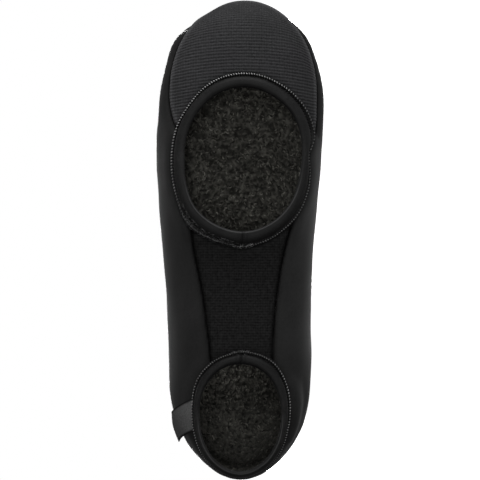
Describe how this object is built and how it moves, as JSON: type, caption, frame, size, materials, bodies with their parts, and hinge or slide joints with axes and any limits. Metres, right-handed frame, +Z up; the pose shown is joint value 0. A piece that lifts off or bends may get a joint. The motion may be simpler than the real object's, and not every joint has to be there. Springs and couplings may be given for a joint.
{
  "type": "cycling overshoe",
  "caption": "Soft ankle-high overshoe for the right foot, hollow and open at the collar, with bound openings under the ball and heel, lying on its side.",
  "frame": {"origin": "centre of the bounding box on the floor under the shoe", "axes": "+X towards the toe, +Y from the underside towards the collar, +Z up from the floor; the shoe lies on its inner side with the outer side up"},
  "size_m": [0.3036, 0.1681, 0.1057],
  "materials": {
    "softshell": "matte black smooth soft shell",
    "ribbed_toe": "matte charcoal ribbed weave",
    "woven_arch": "matte black fine weave",
    "elastic_binding": "satin black elastic band",
    "ribbon_tag": "grey woven ribbon"
  },
  "bodies": {
    "root": {"upper": "softshell", "toe_panel": "ribbed_toe", "arch_panel": "woven_arch", "cleat_binding": "elastic_binding", "heel_binding": "elastic_binding", "side_tag": "ribbon_tag"}
  },
  "joints": []
}
